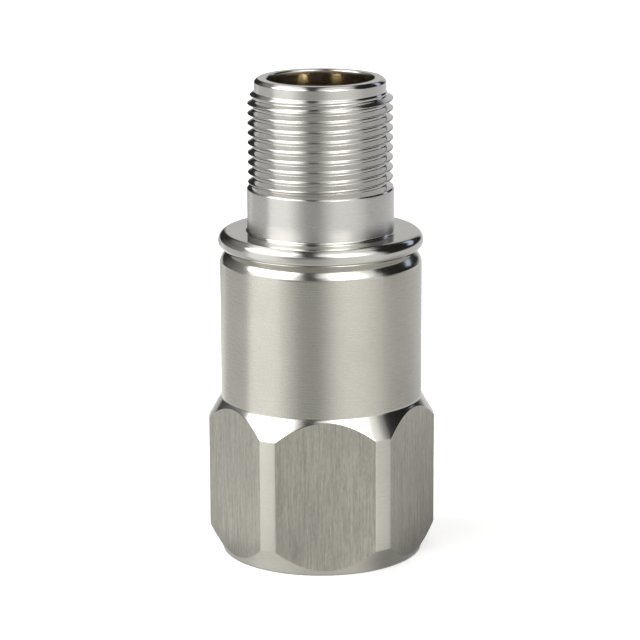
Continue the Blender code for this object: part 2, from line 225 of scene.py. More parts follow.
def turned_steel(name, light, dark, rough, spread, line, depth, across=False, anisotropic=0.0, wear=0.4, coarser=None):
    """Steel with lathe marks: fine rings along the axis, or circles on a face that is square to it.

    rough and spread are the roughness and how far the lines vary it, line is the marks' spacing in mm
    and depth their height in mm. coarser holds two heights in mm and how much rougher the finish is at the first.
    """
    mat, net, bsdf = material(name, Metallic=1.0, Anisotropic=anisotropic, Anisotropic_Rotation=0.25)
    place = net.place()
    x, y, z = net.split(place)
    radius = net.vmath("LENGTH", net.join(x, y, 0.0))
    along = radius if across else z
    slow = net.noise(place, 260.0, 3.0, 0.55)
    drift = net.math("MULTIPLY", net.math("SUBTRACT", slow, 0.5), 0.00005)
    along = net.math("ADD", along, drift)
    coarse = net.noise1(along, 1.0 / (line * 2.6 * MM), 2.0, 0.6)
    fine = net.noise1(along, 1.0 / (line * MM), 3.0, 0.7)
    if across:
        scratch = net.noise(net.scaled(place, 900.0, 900.0, 900.0), 1.0, 3.0, 0.6)
    else:
        scratch = net.noise(net.scaled(place, 900.0, 900.0, 9000.0), 1.0, 3.0, 0.65)
    grain = net.math("ADD", net.math("MULTIPLY", coarse, 0.18), net.math("MULTIPLY", fine, 0.34))
    grain = net.math("ADD", grain, net.math("MULTIPLY", scratch, 0.48))
    smudge = net.noise(place, 150.0, 4.0, 0.6, 0.4)
    speck = net.noise(net.scaled(place, 2600.0, 2600.0, 5200.0), 1.0, 2.0, 0.6)
    mark = net.fit(speck, 0.68, 0.78)
    tone = net.fit(net.math("ADD", net.math("MULTIPLY", grain, 0.6), net.math("MULTIPLY", smudge, 0.4)), 0.36, 0.64)
    colour = net.mix(tone, rgb(*dark), rgb(*light))
    colour = net.mix(net.math("MULTIPLY", mark, 0.25 * wear), colour, rgb(*[0.55 * v for v in dark]))
    net.feed(bsdf.inputs["Base Color"], colour)
    roughness = net.fit(grain, 0.34, 0.66, rough + spread, rough - spread)
    roughness = net.math("ADD", roughness, net.math("MULTIPLY", net.math("SUBTRACT", smudge, 0.5), 0.5 * spread))
    roughness = net.math("ADD", roughness, net.math("MULTIPLY", mark, 0.08 * wear), clamp=True)
    if coarser:
        low, high, extra = coarser
        roughness = net.math("ADD", roughness, net.fit(z, low * MM, high * MM, extra, 0.0, smooth=True))
    net.feed(bsdf.inputs["Roughness"], roughness)
    net.feed(bsdf.inputs["Normal"], net.bump(grain, 1.0, depth * MM))
    if anisotropic:
        lathe_tangent(net, bsdf)
    return mat


def milled_steel(name, light, dark, rough, spread, depth, anisotropic):
    """Steel flats with a fine grain along the sensor's axis."""
    mat, net, bsdf = material(name, Metallic=1.0, Anisotropic=anisotropic)
    place = net.place()
    wander = net.noise(place, 90.0, 2.0, 0.5)
    lean = net.math("MULTIPLY", net.math("SUBTRACT", wander, 0.5), 0.0004)
    x, y, z = net.split(place)
    bent = net.join(net.math("ADD", x, lean), net.math("ADD", y, lean), z)
    fine = net.noise(net.scaled(bent, 5600.0, 5600.0, 260.0), 1.0, 3.0, 0.7)
    broad = net.noise(net.scaled(bent, 2100.0, 2100.0, 90.0), 1.0, 3.0, 0.6)
    short = net.noise(net.scaled(bent, 5200.0, 5200.0, 1500.0), 1.0, 2.0, 0.6)
    grain = net.math("ADD", net.math("MULTIPLY", fine, 0.50), net.math("MULTIPLY", broad, 0.22))
    grain = net.math("ADD", grain, net.math("MULTIPLY", short, 0.28))
    smudge = net.noise(place, 130.0, 4.0, 0.6, 0.5)
    tone = net.fit(net.math("ADD", net.math("MULTIPLY", grain, 0.85), net.math("MULTIPLY", smudge, 0.15)), 0.40, 0.60)
    colour = net.mix(tone, rgb(*dark), rgb(*light))
    net.feed(bsdf.inputs["Base Color"], colour)
    roughness = net.fit(grain, 0.36, 0.64, rough + spread, rough - spread)
    roughness = net.math("ADD", roughness, net.math("MULTIPLY", net.math("SUBTRACT", smudge, 0.5), spread), clamp=True)
    net.feed(bsdf.inputs["Roughness"], roughness)
    net.feed(bsdf.inputs["Normal"], net.bump(grain, 1.0, depth * MM))
    lathe_tangent(net, bsdf)
    return mat


def grained(name, light, dark, rough, spread, size, depth, metallic=0.0, specks=None, **constants):
    """A fine-grained surface for ceramic, plastic or plated pieces; size is the grain in mm, depth in mm."""
    mat, net, bsdf = material(name, Metallic=metallic, **constants)
    place = net.place()
    grain = net.noise(place, 1.0 / (size * MM), 3.0, 0.6)
    cloud = net.noise(place, 1.0 / (size * 9.0 * MM), 3.0, 0.55, 0.3)
    tone = net.fit(net.math("ADD", net.math("MULTIPLY", grain, 0.5), net.math("MULTIPLY", cloud, 0.5)), 0.36, 0.64)
    colour = net.mix(tone, rgb(*dark), rgb(*light))
    if specks:
        spot = net.fit(net.noise(place, 1.0 / (size * 2.5 * MM), 1.0, 0.5), 0.70, 0.76)
        colour = net.mix(net.math("MULTIPLY", spot, 0.6), colour, rgb(*specks))
    net.feed(bsdf.inputs["Base Color"], colour)
    net.feed(bsdf.inputs["Roughness"], net.fit(grain, 0.3, 0.7, rough - spread, rough + spread))
    net.feed(bsdf.inputs["Normal"], net.bump(grain, 1.0, depth * MM))
    return mat


# ------------------------------------------------------------- mesh building
def smooth_min(a, b, k):
    h = max(k - abs(a - b), 0.0) / k
    return min(a, b) - h * h * k / 4


def smooth_max(a, b, k):
    return -smooth_min(-a, -b, k)


def arc(centre_r, centre_z, radius, start, end, count):
    """Points on an arc of a profile, angles in degrees from +R towards +Z."""
    points = []
    for i in range(count + 1):
        a = math.radians(start + (end - start) * i / count)
        points.append((centre_r + radius * math.cos(a), centre_z + radius * math.sin(a)))
    return points


def between(a, b, count):
    """count points strictly between two numbers."""
    return [a + (b - a) * (i + 1) / (count + 1) for i in range(count)]


class Turned:
    """A closed mesh built ring by ring; the rings share one list of directions round the axis."""

    def __init__(self, name, angles, centre=(0.0, 0.0)):
        self.name = name
        self.angles = angles
        self.centre = centre
        self.verts = []
        self.faces = []
        self.mats = []

    def point(self, r, angle, z):
        x = self.centre[0] + r * math.cos(angle)
        y = self.centre[1] + r * math.sin(angle)
        self.verts.append((x * MM, y * MM, z * MM))
        return len(self.verts) - 1

    def pole(self, z):
        self.verts.append((self.centre[0] * MM, self.centre[1] * MM, z * MM))
        return [len(self.verts) - 1] * len(self.angles)

    def ring(self, shape):
        """A ring from (r, z), or from a function of the angle that gives (r, z)."""
        ids = []
        for angle in self.angles:
            r, z = shape(angle) if callable(shape) else shape
            ids.append(self.point(r, angle, z))
        return ids

    def face(self, corners, mat):
        kept = [c for i, c in enumerate(corners) if c != corners[i - 1]]
        if len(set(kept)) == len(kept) >= 3:
            self.faces.append(kept)
            self.mats.append(mat)

    def stitch(self, low, high, mat):
        """Faces between two rings; mat is a number, or a function of the column that gives one."""
        n = len(self.angles)
        for j in range(n):
            k = (j + 1) % n
            self.face([low[j], low[k], high[k], high[j]], mat(j) if callable(mat) else mat)

    def strip(self, rings, mat):
        for low, high in zip(rings, rings[1:]):
            self.stitch(low, high, mat)

    def helix(self, low, high, z_low, z_high, pitch, phases, start, radius, mat):
        """A band whose rows climb one pitch for each turn, so that a thread's edges lie along them."""
        n = len(self.angles)
        per = len(phases)
        first = -per * 2
        last = int((z_high - z_low) / pitch + 3) * per
        made = {}

        def vertex(j, i):
            if j == n:
                j, i = 0, i + per
            if (j, i) in made:
                return made[(j, i)]
            turn = (self.angles[j] - self.angles[0]) / TAU
            z = start + pitch * (i // per + phases[i % per] + turn)
            if z <= z_low + 0.008:
                made[(j, i)] = low[j]
            elif z >= z_high - 0.008:
                made[(j, i)] = high[j]
            else:
                made[(j, i)] = self.point(radius(self.angles[j], z), self.angles[j], z)
            return made[(j, i)]

        for j in range(n):
            for i in range(first, last):
                self.face([vertex(j, i), vertex(j + 1, i), vertex(j + 1, i + 1), vertex(j, i + 1)], mat)

    def build(self, materials):
        mesh = bpy.data.meshes.new(self.name)
        mesh.from_pydata(self.verts, [], self.faces)
        for mat in materials:
            mesh.materials.append(mat)
        mesh.polygons.foreach_set("material_index", self.mats)
        mesh.shade_smooth()
        mesh.validate()
        # a closed mesh with its faces outwards holds a volume above zero
        volume = 0.0
        mesh.calc_loop_triangles()
        points = mesh.vertices
        for tri in mesh.loop_triangles:
            a, b, c = (points[v].co for v in tri.vertices)
            volume += a.dot(b.cross(c))
        if volume < 0:
            mesh.flip_normals()
        mesh.update()
        obj = bpy.data.objects.new(self.name, mesh)
        bpy.context.scene.collection.objects.link(obj)
        return obj


def even(count, start=0.0):
    return [start + TAU * i / count for i in range(count)]


# ------------------------------------------------------------ steel finishes
WARM = (0.635, 0.622, 0.560)
WARM_DARK = (0.545, 0.532, 0.478)
BRIGHT = (0.655, 0.648, 0.622)
BRIGHT_DARK = (0.580, 0.573, 0.548)

barrel_steel = turned_steel("steel_fine_turned", WARM, WARM_DARK, 0.28, 0.035, 0.07, 0.0010, anisotropic=0.86)
strip_steel = turned_steel("steel_corner_turned", WARM, WARM_DARK, 0.30, 0.04, 0.10, 0.0012, anisotropic=0.80)
foot_steel = turned_steel("steel_cone_turned", WARM, WARM_DARK, 0.24, 0.04, 0.09, 0.0010, anisotropic=0.6)
polished_steel = turned_steel("steel_polished", (0.66, 0.65, 0.605), (0.60, 0.59, 0.545), 0.15, 0.03, 0.09, 0.0003,
                              wear=0.6)
flat_steel = milled_steel("steel_milled_grain", (0.62, 0.606, 0.535), (0.42, 0.408, 0.357), 0.40, 0.05, 0.0022, 0.86)
face_steel = turned_steel("steel_faced", WARM, WARM_DARK, 0.27, 0.05, 0.16, 0.002, across=True)
hole_steel = turned_steel("steel_tapped", (0.56, 0.54, 0.49), (0.40, 0.385, 0.35), 0.32, 0.05, 0.08, 0.0012)
inside_steel = turned_steel("steel_bored", (0.56, 0.54, 0.50), (0.46, 0.445, 0.41), 0.35, 0.05, 0.15, 0.002)

neck_steel = turned_steel("steel_neck", BRIGHT, BRIGHT_DARK, 0.25, 0.04, 0.06, 0.0008, anisotropic=0.84,
                          coarser=(35.7, 37.6, 0.14))
thread_steel = turned_steel("steel_thread", (0.775, 0.768, 0.742), (0.64, 0.632, 0.608), 0.115, 0.045, 0.05, 0.0006)
flange_steel = turned_steel("steel_flange_round", (0.665, 0.655, 0.622), (0.605, 0.595, 0.562), 0.11, 0.03, 0.09, 0.0003,
                            wear=0.6)
deck_steel = turned_steel("steel_flange_top", BRIGHT, BRIGHT_DARK, 0.10, 0.03, 0.10, 0.0003, across=True, wear=0.6)
collar_steel = turned_steel("steel_collar", BRIGHT, BRIGHT_DARK, 0.23, 0.04, 0.06, 0.0008, anisotropic=0.82)
rim_steel = turned_steel("steel_rim", BRIGHT, BRIGHT_DARK, 0.16, 0.04, 0.07, 0.0005, across=True)
bore_steel = turned_steel("steel_bore_tinted", (0.68, 0.63, 0.54), (0.54, 0.49, 0.41), 0.15, 0.045, 0.10, 0.0022)


# ------------------------------------------------------------------- housing
def flat_reach(angle):
    """Distance from the axis to the hexagon's flat in a direction; the flats face +-90, +-30 and +-150 degrees."""
    sector = math.radians(60.0)
    off = (angle - math.radians(30.0) + sector / 2) % sector - sector / 2
    return APOTHEM / math.cos(off)


def housing_angles():
    offsets = []
    edge = math.degrees(math.acos(APOTHEM / CORNER_R))
    count = 22
    inner = edge - 0.75
    offsets += [-inner + 2 * inner * i / (count - 1) for i in range(count)]
    for side in (-1, 1):
        offsets += [side * (edge + d) for d in (-0.34, -0.14, 0.0, 0.14, 0.34)]
        offsets += [side * 27.0, side * 28.5]
    offsets.append(30.0)
    offsets.sort()
    angles = []
    for sector in range(6):
        angles += [math.radians(30.0 + 60.0 * sector + off) for off in offsets]
    return angles


EDGE_K = 0.045
LIP_K = 0.075


def hex_radius(angle, z):
    """The outside of the hexagon and its two cones, with a small break on every edge."""
    r = smooth_min(flat_reach(angle), CORNER_R, EDGE_K)
    low = FOOT_R + z * SLOPE
    high = CORNER_R - (z - HEX_HIGH_Z) * SLOPE
    r = smooth_min(r, low, EDGE_K)
    r = smooth_min(r, high, EDGE_K)
    return smooth_max(r, BARREL_R, LIP_K) if z > HEX_HIGH_Z else r


def cone_low_z(angle):
    return (min(flat_reach(angle), CORNER_R) - FOOT_R) / SLOPE


def cone_high_z(angle):
    return HEX_HIGH_Z + (CORNER_R - min(flat_reach(angle), CORNER_R)) / SLOPE


def make_housing():
    angles = housing_angles()
    body = Turned("hex_housing_fine", angles)
    n = len(angles)
    edge = math.acos(APOTHEM / CORNER_R)
    sector = math.radians(60.0)

    def on_flat(j):
        mid = (angles[j] + angles[(j + 1) % n] + (TAU if j == n - 1 else 0.0)) / 2
        off = (mid - math.radians(30.0) + sector / 2) % sector - sector / 2
        return abs(off) < edge

    BARREL, STRIP, FOOT, POLISH, FLAT, FACE, HOLE, INSIDE = range(8)

    # the tapped hole, from the drill point out to the mouth
    tip_z = HOLE_DEPTH + HOLE_MINOR / math.tan(math.radians(59.0))
    thread_top = 6.30
    thread_low = 0.30
    tip = body.pole(tip_z)
    drill = [body.ring((r, HOLE_DEPTH + (HOLE_MINOR - r) / math.tan(math.radians(59.0))))
             for r in (0.4, 1.4, 2.5, HOLE_MINOR)]
    drill.append(body.ring((HOLE_MINOR, 7.10)))
    drill.append(body.ring((HOLE_MINOR, 6.70)))
    top_ring = body.ring((HOLE_MINOR, thread_top))
    body.strip([tip] + drill + [top_ring], HOLE)
    low_ring = body.ring((HOLE_MOUTH - 0.27, thread_low))

    def hole_radius(angle, z):
        u = ((z - 1.0) / HOLE_PITCH - angle / TAU) % 1.0
        u = min(u, 1.0 - u)
        flank = HOLE_MINOR + (u * HOLE_PITCH - 0.06) * math.tan(math.radians(60.0))
        r = smooth_max(HOLE_MINOR, smooth_min(flank, HOLE_MAJOR, 0.05), 0.03)
        fade = min(max((thread_top - z) / 0.8, 0.0), 1.0)
        r = HOLE_MINOR + (r - HOLE_MINOR) * fade
        return max(r, HOLE_MOUTH - 0.27 - (z - thread_low) * 1.0)

    phases = [0.0, 0.06, 0.12, 0.22, 0.32, 0.42, 0.5, 0.58, 0.68, 0.78, 0.88, 0.94]
    body.helix(low_ring, top_ring, thread_low, thread_top, HOLE_PITCH, phases,
               1.0 + HOLE_PITCH * (angles[0] / TAU) - 3 * HOLE_PITCH, hole_radius, HOLE)
    mouth = body.ring((HOLE_MOUTH - 0.02, 0.03))
    body.strip([mouth, low_ring], HOLE)

    # the mounting face
    face = [body.ring((r, z)) for r, z in ((HOLE_MOUTH + 0.02, 0.004), (HOLE_MOUTH + 0.08, 0.0), (4.6, 0.0), (6.4, 0.0),
                                          (8.2, 0.0), (9.8, 0.0), (FOOT_R - FOOT_BREAK, 0.0))]
    body.stitch(mouth, face[0], HOLE)
    body.strip(face, FACE)

    # the foot's edge break, as a small curve
    a = (FOOT_R - FOOT_BREAK, 0.0)
    b = (FOOT_R, 0.0)
    c = (FOOT_R + FOOT_BREAK * SLOPE, FOOT_BREAK)
    rings = [face[-1]]
    for i in range(1, 6):
        t = i / 5
        p = [(1 - t) ** 2 * a[k] + 2 * t * (1 - t) * b[k] + t * t * c[k] for k in (0, 1)]
        rings.append(body.ring(tuple(p)))

    def hex_ring(z_of):
        return body.ring(lambda angle: (hex_radius(angle, z_of(angle)), z_of(angle)))

    def mixed(t, low, high):
        return lambda angle: low(angle) + (high(angle) - low(angle)) * t

    foot_top = lambda angle: FOOT_BREAK + 0.02
    low_edge = lambda angle: cone_low_z(angle) - 0.10
    for t in (0.0, 0.3, 0.65, 1.0):
        rings.append(hex_ring(mixed(t, foot_top, low_edge)))
    for d in (-0.05, 0.0, 0.05, 0.10):
        rings.append(hex_ring(lambda angle, d=d: cone_low_z(angle) + d))
    body.strip(rings[:-2], FOOT)

    wall = rings[-3:]
    low_wall = lambda angle: cone_low_z(angle) + 0.10
    high_wall = lambda angle: cone_high_z(angle) - 0.10
    for t in between(0.0, 1.0, 9):
        wall.append(hex_ring(mixed(t, low_wall, high_wall)))
    for d in (-0.10, -0.05, 0.0):
        wall.append(hex_ring(lambda angle, d=d: cone_high_z(angle) + d))
    body.strip(wall, lambda j: FLAT if on_flat(j) else STRIP)

    cone = [wall[-1]]
    for d in (0.05, 0.10):
        cone.append(hex_ring(lambda angle, d=d: cone_high_z(angle) + d))
    cone_start = lambda angle: cone_high_z(angle) + 0.10
    cone_end = lambda angle: BARREL_LOW_Z - 0.16
    for t in between(0.0, 1.0, 4):
        cone.append(hex_ring(mixed(t, cone_start, cone_end)))
    for d in (-0.16, -0.10, -0.06, -0.03, 0.0, 0.03, 0.06, 0.10, 0.16):
        cone.append(hex_ring(lambda angle, d=d: BARREL_LOW_Z + d))
    body.strip(cone, POLISH)

    barrel = [cone[-1]]
    barrel += [body.ring((BARREL_R, z)) for z in between(BARREL_LOW_Z + 0.16, SHOULDER_EDGE - 0.04, 9) + [SHOULDER_EDGE - 0.04]]
    body.strip(barrel, BARREL)

    # a narrow edge break, then the long polished curve up to the seam, with one shallow tool line in it
    profile = [(BARREL_R - 0.004, SHOULDER_EDGE + 0.004), (BARREL_R - 0.016, SHOULDER_EDGE + 0.034)]
    for i in range(17):
        a = math.radians(19.0 + 25.6 * i / 16)
        profile.append((8.519 + 2.50 * math.cos(a) + (-0.006 if i == 3 else 0.0), 31.450 + 2.50 * math.sin(a)))
    profile += [(10.22, 33.286), (10.14, 33.367), (10.105, 33.42), (10.085, SEAM_Z - 0.125), (10.02, SEAM_Z - 0.075),
                (9.98, SEAM_Z - 0.02), (9.965, SEAM_Z)]
    shoulder = [barrel[-1]] + [body.ring(p) for p in profile]
    body.strip(shoulder, POLISH)

    inner = [shoulder[-1]]
    for p in ((9.45, SEAM_Z), (9.40, SEAM_Z - 0.05), (9.40, 31.38), (9.38, 31.34), (9.02, 31.34), (9.00, 31.30),
              (9.00, 26.0), (9.00, 18.0), (9.00, 10.66), (8.95, 10.58), (8.64, 10.24), (8.56, 10.20), (6.0, 10.20),
              (3.0, 10.20), (0.6, 10.20)):
        inner.append(body.ring(p))
    inner.append(body.pole(10.20))
    body.strip(inner, INSIDE)
    return body.build([barrel_steel, strip_steel, foot_steel, polished_steel, flat_steel, face_steel, hole_steel,
                       inside_steel])


# ----------------------------------------------------------- connector shell
RIB_ANGLE = math.radians(270.0)


def shell_angles():
    near = math.radians(9.4)
    angles = [a for a in even(208) if abs((a - RIB_ANGLE + math.pi) % TAU - math.pi) > near]
    for d in (8.9, 8.5, 8.25, 8.1, 7.9, 7.75, 7.4, 6.4, 4.6, 2.4):
        angles += [RIB_ANGLE + math.radians(d), RIB_ANGLE - math.radians(d)]
    angles.append(RIB_ANGLE)
    return sorted(angles)


def thread_radius(angle, z):
    """The 5/8-24 thread: rounded roots, narrow crests, a lead-in at the top and a run-out into the neck."""
    u = ((z - CREST_Z) / PITCH - (angle - CREST_ANGLE) / TAU) % 1.0
    u = min(u, 1.0 - u)
    flank = CREST_R - (u * PITCH - 0.041) * math.tan(math.radians(60.0))
    r = smooth_max(smooth_min(CREST_R, flank, 0.065), ROOT_R, 0.16)
    lead = COLLAR_R + (COLLAR_Z - 0.10 - z) * 1.3
    r = smooth_min(r, lead, 0.05)
    up = z - NECK_TOP
    run = NECK_R - 0.03 - min(up, 0.09) * 0.8 - max(up - 0.09, 0.0) * 1.73
    return max(smooth_max(r, run, 0.04), COLLAR_R if z > COLLAR_Z - 0.12 else 0.0)


def bore_ring(shell, z, rib):
    def shape(angle):
        off = abs((angle - RIB_ANGLE + math.pi) % TAU - math.pi)
        edge = math.degrees(off)
        t = min(max((8.25 - edge) / 0.5, 0.0), 1.0)
        t = t * t * (3 - 2 * t)
        if t <= 0.0 or not rib:
            return (BORE_R, z)
        return (BORE_R + (RIB_R / math.cos(off) - BORE_R) * t, z)

    return shell.ring(shape)


def make_shell():
    shell = Turned("connector_shell_fine", shell_angles())
    NECK, THREAD, ROUND, DECK, COLLAR, RIM, BORE, INSIDE = range(8)
    seam_top = SEAM_Z + GAP

    # spigot, flange and neck, from the inside's lower edge outwards and up
    inner_end = shell.ring((SPIGOT_BORE, SPIGOT_Z))
    spigot = [inner_end] + [shell.ring(p) for p in ((SPIGOT_R - 0.08, SPIGOT_Z), (SPIGOT_R, SPIGOT_Z + 0.08),
                                                   (SPIGOT_R, 32.6), (SPIGOT_R, seam_top - 0.03),
                                                   (SPIGOT_R + 0.03, seam_top))]
    shell.strip(spigot, INSIDE)
    lower_end = -math.degrees(math.asin((FLANGE_Z - seam_top) / LOWER_ROUND))
    flange = [spigot[-1], shell.ring((10.37, seam_top)), shell.ring((10.415, seam_top + 0.006))]
    flange += [shell.ring(p) for p in arc(FLANGE_R - LOWER_ROUND, FLANGE_Z, LOWER_ROUND, lower_end + 3.0, 0.0, 13)]
    flange += [shell.ring(p) for p in arc(FLANGE_R - UPPER_ROUND, FLANGE_TOP - UPPER_ROUND, UPPER_ROUND, 0.0, 90.0, 20)[1:]]
    shell.strip(flange, ROUND)
    deck = [flange[-1]] + [shell.ring((r, FLANGE_TOP)) for r in (9.97, 9.4, 8.7, NECK_R + NECK_FILLET + 0.03)]
    shell.strip(deck, DECK)
    fillet = [deck[-1]] + [shell.ring(p) for p in arc(NECK_R + NECK_FILLET, FLANGE_TOP + NECK_FILLET, NECK_FILLET,
                                                     270.0, 180.0, 7)]
    shell.strip(fillet, ROUND)
    neck = [fillet[-1]] + [shell.ring((NECK_R, z)) for z in (35.77, 36.2, 37.0, 38.0, 39.0, 39.8, NECK_TOP - 0.05)]
    neck.append(shell.ring((NECK_R - 0.006, NECK_TOP - 0.018)))
    shell.strip(neck, NECK)
    low = shell.ring((NECK_R - 0.02, NECK_TOP))
    shell.stitch(neck[-1], low, THREAD)

    high = shell.ring((COLLAR_R, COLLAR_Z))
    half = [0.0, 0.02, 0.04, 0.06, 0.08, 0.10, 0.13, 0.21, 0.29, 0.33, 0.37, 0.40, 0.43, 0.465]
    phases = half + [0.5] + [1.0 - u for u in reversed(half[1:])]
    start = CREST_Z - 7 * PITCH + PITCH * (shell.angles[0] - CREST_ANGLE) / TAU
    shell.helix(low, high, NECK_TOP, COLLAR_Z, PITCH, phases, start, thread_radius, THREAD)

    collar = [high] + [shell.ring((COLLAR_R, z)) for z in (50.70, 50.9, 51.2, 51.5, RIM_Z - RIM_BREAK - 0.03)]
    shell.strip(collar, COLLAR)
    rim = [collar[-1]] + [shell.ring(p) for p in (
        (COLLAR_R - 0.004, RIM_Z - RIM_BREAK), (COLLAR_R - 0.022, RIM_Z - RIM_BREAK + 0.035),
        (COLLAR_R - 0.065, RIM_Z - RIM_BREAK + 0.095), (COLLAR_R - 0.15, RIM_Z - RIM_BREAK + 0.19),
        (COLLAR_R - 0.24, RIM_Z - 0.105), (COLLAR_R - 0.31, RIM_Z - 0.055), (COLLAR_R - RIM_BREAK + 0.01, RIM_Z - 0.022),
        (COLLAR_R - RIM_BREAK - 0.03, RIM_Z - 0.005), (COLLAR_R - RIM_BREAK - 0.07, RIM_Z))]
    shell.strip(rim, ROUND)
    top = [rim[-1]] + [shell.ring((r, RIM_Z)) for r in (6.45, 6.25, 6.0, BORE_R + BORE_BREAK + 0.02)]
    shell.strip(top, RIM)
    lip = [top[-1]] + [shell.ring(p) for p in (
        (BORE_R + BORE_BREAK - 0.01, RIM_Z - 0.008), (BORE_R + 0.03, RIM_Z - BORE_BREAK + 0.03),
        (BORE_R + 0.006, RIM_Z - BORE_BREAK), (BORE_R, RIM_Z - BORE_BREAK - 0.03))]
    shell.strip(lip, RIM)

    bore = [lip[-1]]
    for z, rib in ((51.4, 0), (50.6, 0), (49.9, 0), (RIB_TOP + 0.06, 0), (RIB_TOP + 0.01, 0), (RIB_TOP - 0.03, 1),
                   (RIB_TOP - 0.10, 1), (48.4, 1), (46.4, 1), (44.4, 1), (43.0, 1), (RIB_LOW + 0.08, 1),
                   (RIB_LOW + 0.02, 1), (RIB_LOW - 0.02, 0), (RIB_LOW - 0.07, 0), (41.0, 0), (SHOULDER_Z + 0.05, 0)):
        bore.append(bore_ring(shell, z, rib))
    shell.strip(bore, BORE)
    inner = [bore[-1]] + [shell.ring(p) for p in (
        (BORE_R - 0.03, SHOULDER_Z), (LEAD_R + 0.05, SHOULDER_Z), (LEAD_R, SHOULDER_Z - 0.05),
        (LEAD_R, SEAM_Z + 2.66), (LEAD_R + 0.04, SEAM_Z + 2.55), (SPIGOT_BORE - 0.05, SEAM_Z + 0.24),
        (SPIGOT_BORE, SEAM_Z + 0.16), (SPIGOT_BORE, 32.4), (SPIGOT_BORE, SPIGOT_Z + 0.06))] + [inner_end]
    shell.strip(inner, INSIDE)
    return shell.build([neck_steel, thread_steel, flange_steel, deck_steel, collar_steel, rim_steel, bore_steel,
                        inside_steel])


# ------------------------------------------------------------ glass and pins
def make_glass():
    """The fused glass, with its surface drawn up a little at the wall and round the pins."""
    rows = []
    outer = BORE_R - GAP
    hole = PIN_R + GAP

    def height(x, y):
        wall = max(outer - math.hypot(x, y), 0.0)
        pin = min(math.hypot(x - PIN_X, y), math.hypot(x + PIN_X, y)) - hole
        pin = max(pin, 0.0)
        climb = 0.12 * math.exp(-wall / 0.38) + 0.10 * math.exp(-pin / 0.26)
        return GLASS_TOP - 0.12 + climb

    # each pin's hole has its own ring of points, and the sheet between is a constrained Delaunay triangulation of these
    # rings, the rim and extra rings of points
    import bmesh
    from mathutils import geometry

    points = []
    edges = []

    def loop(cx, cy, r, count):
        start = len(points)
        for i in range(count):
            a = TAU * i / count
            points.append(Vector((cx + r * math.cos(a), cy + r * math.sin(a))))
        for i in range(count):
            edges.append((start + i, start + (i + 1) % count))
        return list(range(start, start + count))

    rim = loop(0.0, 0.0, outer, 120)
    hole_a = loop(-PIN_X, 0.0, hole, 48)
    hole_b = loop(PIN_X, 0.0, hole, 48)
    for r in (outer - 0.08, outer - 0.2, outer - 0.4, outer - 0.7, outer - 1.1, outer - 1.7, outer - 2.4, 2.4, 1.6):
        count = max(24, int(100 * r / outer))
        for i in range(count):
            a = TAU * (i + 0.5) / count
            x, y = r * math.cos(a), r * math.sin(a)
            if min(math.hypot(x - PIN_X, y), math.hypot(x + PIN_X, y)) > hole + 0.62:
                points.append(Vector((x, y)))
    for cx in (-PIN_X, PIN_X):
        for d in (0.06, 0.14, 0.26, 0.45):
            count = 44
            for i in range(count):
                a = TAU * (i + 0.5) / count
                points.append(Vector((cx + (hole + d) * math.cos(a), (hole + d) * math.sin(a))))
    out = geometry.delaunay_2d_cdt(points, edges, [], 0, 1e-6)
    verts2, _, faces2 = out[0], out[1], out[2]
    kept = []
    for f in faces2:
        cx = sum(verts2[v].x for v in f) / len(f)
        cy = sum(verts2[v].y for v in f) / len(f)
        if math.hypot(cx, cy) < outer and min(math.hypot(cx - PIN_X, cy), math.hypot(cx + PIN_X, cy)) > hole * 0.995:
            kept.append(list(f))
    used = sorted({v for f in kept for v in f})
    index = {v: i for i, v in enumerate(used)}
    bm = bmesh.new()
    top = [bm.verts.new((verts2[v].x * MM, verts2[v].y * MM, height(verts2[v].x, verts2[v].y) * MM)) for v in used]
    low = [bm.verts.new((verts2[v].x * MM, verts2[v].y * MM, GLASS_LOW * MM)) for v in used]
    for f in kept:
        bm.faces.new([top[index[v]] for v in f])
        bm.faces.new([low[index[v]] for v in reversed(f)])
    count = {}
    for f in kept:
        for i in range(len(f)):
            pair = (f[i], f[(i + 1) % len(f)])
            count[pair] = True
    for a, b in list(count):
        if (b, a) not in count:
            bm.faces.new([top[index[b]], top[index[a]], low[index[a]], low[index[b]]])
    bmesh.ops.recalc_face_normals(bm, faces=bm.faces)
    for f in bm.faces:
        f.smooth = abs(f.normal.z) > 0.3
    mesh = bpy.data.meshes.new("glass_seal_fine")
    bm.to_mesh(mesh)
    bm.free()
    glass, net, bsdf = material("fused_glass", Metallic=0.0, IOR=1.52, Coat_Weight=0.0)
    place = net.place()
    cloud = net.noise(place, 900.0, 3.0, 0.6, 0.6)
    bubble = net.fit(net.noise(place, 5200.0, 1.0, 0.5), 0.70, 0.76)
    colour = net.mix(cloud, rgb(0.012, 0.018, 0.014), rgb(0.045, 0.055, 0.042))
    colour = net.mix(net.math("MULTIPLY", bubble, 0.5), colour, rgb(0.10, 0.11, 0.09))
    net.feed(bsdf.inputs["Base Color"], colour)
    net.feed(bsdf.inputs["Roughness"], net.fit(cloud, 0.3, 0.7, 0.06, 0.14))
    net.feed(bsdf.inputs["Normal"], net.bump(net.noise(place, 1400.0, 2.0, 0.5), 1.0, 0.00001))
    mesh.materials.append(glass)
    obj = bpy.data.objects.new("glass_seal_fine", mesh)
    bpy.context.scene.collection.objects.link(obj)
    return obj


